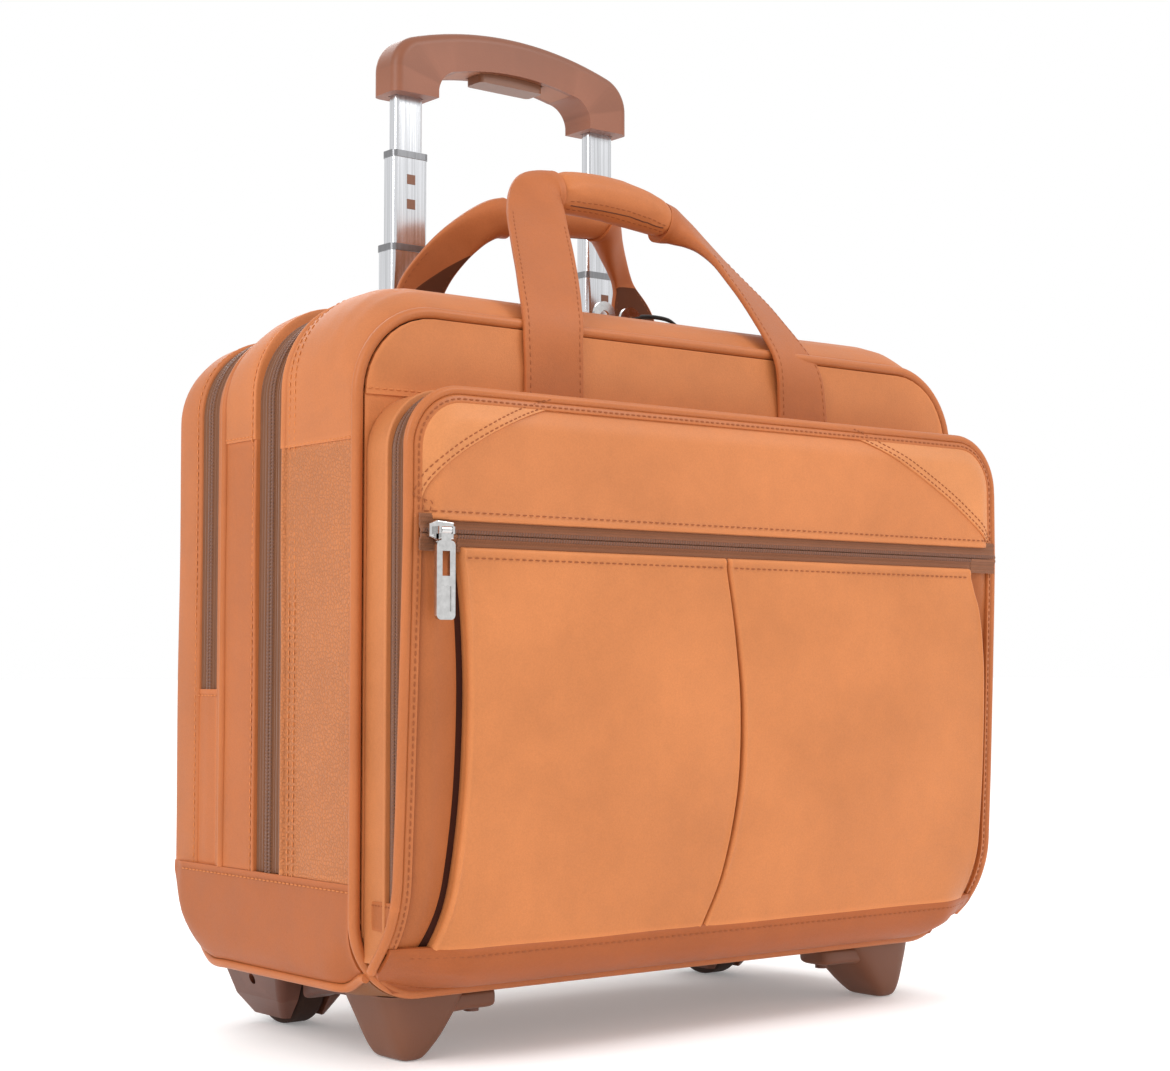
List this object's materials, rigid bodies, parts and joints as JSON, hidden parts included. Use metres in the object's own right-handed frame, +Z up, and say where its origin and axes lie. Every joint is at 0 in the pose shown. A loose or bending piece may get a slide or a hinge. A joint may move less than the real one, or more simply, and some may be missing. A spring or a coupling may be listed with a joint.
{
  "type": "rolling laptop case",
  "caption": "Tan leather rolling laptop case with telescoping trolley handle, recessed rear wheels, front feet, carry handles, zipped compartments and a pleated front pocket.",
  "frame": {"origin": "on the ground, under the middle of the overall box", "axes": "+Z up along the trolley tubes, +Y from the front pocket to the back panel, +X across the width"},
  "size_m": [0.436, 0.241, 0.588],
  "materials": {
    "leather": "soft full-grain leather with a light sheen",
    "piping": "rolled leather edge",
    "zip_tape": "woven tape with a nylon coil",
    "zip_metal": "polished nickel",
    "trolley_tube": "satin anodised",
    "collar_plastic": "fine texture",
    "grip_plastic": "soft satin",
    "foot_plastic": "moulded, slightly glossy",
    "tyre": "solid rubber",
    "hub": "moulded",
    "steel": "zinc plated",
    "board": "cloth covered board",
    "lining": "woven lining"
  },
  "bodies": {
    "root": {"base_wrap": "leather", "base_board": "board", "rear_gusset": "leather", "main_zip_rear_tape": "zip_tape", "divider_wall": "board", "rear_piping": "piping", "rear_edge_strip": "leather", "laptop_zip_tapes": "zip_tape", "back_gusset": "leather", "back_panel": "leather", "trolley_wall": "board", "sleeve_tubes": "trolley_tube", "trolley_bracket": "steel", "trolley_bezels": "grip_plastic", "wheel_housings": "foot_plastic", "wheel_axles": "steel", "foot_rails": "foot_plastic", "base_screws": "steel", "rear_handle_anchors": "leather", "file_divider": "board"},
    "front_shell": {"front_panel": "leather", "front_piping": "piping", "front_gusset": "leather", "main_zip_front_tape": "zip_tape", "pocket_gusset": "leather", "pocket_zip_rear_tape": "zip_tape", "pocket_bottom_band": "leather", "front_handle_anchors": "leather", "organizer_pockets": "lining"},
    "organizer_flap": {"flap_panel": "leather", "pocket_piping": "piping", "pocket_zip_front_tape": "zip_tape", "front_zip_upper_tape": "zip_tape"},
    "pocket_front": {"pocket_panel": "leather", "front_zip_lower_tape": "zip_tape"},
    "laptop_flap": {"laptop_zip_top_tape": "zip_tape"},
    "trolley_lower": {"lower_tubes": "trolley_tube", "lower_collars": "collar_plastic"},
    "trolley_middle": {"middle_tubes": "trolley_tube", "middle_collars": "collar_plastic"},
    "trolley_upper": {"inner_tubes": "trolley_tube", "grip_shell": "grip_plastic", "grip_underside": "grip_plastic"},
    "grip_release": {"grip_button": "grip_plastic", "release_rods": "steel"},
    "wheel_left": {"tyre_left": "tyre", "hub_left": "hub"},
    "wheel_right": {"tyre_right": "tyre", "hub_right": "hub"},
    "front_handle": {"front_handle_strap": "leather", "front_handle_grip": "leather"},
    "rear_handle": {"rear_handle_strap": "leather", "rear_handle_grip": "leather"},
    "front_zip_slider": {"front_slider": "zip_metal"},
    "front_zip_pull": {"front_pull": "zip_metal"},
    "main_zip_slider_left": {"main_slider_left": "zip_metal"},
    "main_zip_slider_right": {"main_slider_right": "zip_metal"},
    "organizer_zip_slider": {"organizer_slider": "zip_metal"},
    "laptop_zip_slider": {"laptop_slider": "zip_metal"}
  },
  "joints": [
    {"name": "front_shell_tilt", "type": "hinge", "parent": "root", "child": "front_shell", "pos_m": [0, -0.0665, 0.036], "axis": [1, 0, 0], "range_deg": [0, 35]},
    {"name": "organizer_flap_tilt", "type": "hinge", "parent": "front_shell", "child": "organizer_flap", "pos_m": [0, -0.1031, 0.0581], "axis": [1, 0, 0], "range_deg": [0, 55]},
    {"name": "front_pocket_open", "type": "hinge", "parent": "organizer_flap", "child": "pocket_front", "pos_m": [0, -0.1031, 0.0582], "axis": [1, 0, 0], "range_deg": [0, 8]},
    {"name": "laptop_flap_lift", "type": "hinge", "parent": "root", "child": "laptop_flap", "pos_m": [0, 0.07455, 0.3823], "axis": [1, 0, 0], "range_deg": [0, 80]},
    {"name": "trolley_lower_slide", "type": "slide", "parent": "root", "child": "trolley_lower", "axis": [0, 0, 1], "range_m": [-0.062, 0.138]},
    {"name": "trolley_middle_slide", "type": "slide", "parent": "trolley_lower", "child": "trolley_middle", "axis": [0, 0, 1], "range_m": [-0.052, 0.134]},
    {"name": "trolley_upper_slide", "type": "slide", "parent": "trolley_middle", "child": "trolley_upper", "axis": [0, 0, 1], "range_m": [-0.033, 0.157]},
    {"name": "grip_button_press", "type": "slide", "parent": "trolley_upper", "child": "grip_release", "axis": [0, 0, 1], "range_m": [0, 0.004], "stiffness_N_per_m": 500},
    {"name": "wheel_left_spin", "type": "hinge", "parent": "root", "child": "wheel_left", "pos_m": [-0.157, 0.0895, 0.026], "axis": [1, 0, 0], "continuous": true},
    {"name": "wheel_right_spin", "type": "hinge", "parent": "root", "child": "wheel_right", "pos_m": [0.157, 0.0895, 0.026], "axis": [1, 0, 0], "continuous": true},
    {"name": "front_handle_swing", "type": "hinge", "parent": "front_shell", "child": "front_handle", "pos_m": [0, -0.0729, 0.37405], "axis": [-1, 0, 0], "range_deg": [-140, 0]},
    {"name": "rear_handle_swing", "type": "hinge", "parent": "root", "child": "rear_handle", "pos_m": [0, 0.0721, 0.386], "axis": [-1, 0, 0], "range_deg": [0, 16]},
    {"name": "front_zip_slide", "type": "slide", "parent": "organizer_flap", "child": "front_zip_slider", "axis": [1, 0, 0], "range_m": [0, 0.393]},
    {"name": "front_pull_swing", "type": "hinge", "parent": "front_zip_slider", "child": "front_zip_pull", "pos_m": [-0.198, -0.1186, 0.2636], "axis": [-1, 0, 0], "range_deg": [0, 165]},
    {"name": "main_zip_left_slide", "type": "slide", "parent": "front_shell", "child": "main_zip_slider_left", "axis": [1, 0, 0], "range_m": [-0.15, 0]},
    {"name": "main_zip_right_slide", "type": "slide", "parent": "front_shell", "child": "main_zip_slider_right", "axis": [1, 0, 0], "range_m": [0, 0.12]},
    {"name": "organizer_zip_slide", "type": "slide", "parent": "front_shell", "child": "organizer_zip_slider", "axis": [1, 0, 0], "range_m": [-0.3, 0]},
    {"name": "laptop_zip_slide", "type": "slide", "parent": "laptop_flap", "child": "laptop_zip_slider", "axis": [1, 0, 0], "range_m": [-0.24, 0]}
  ]
}
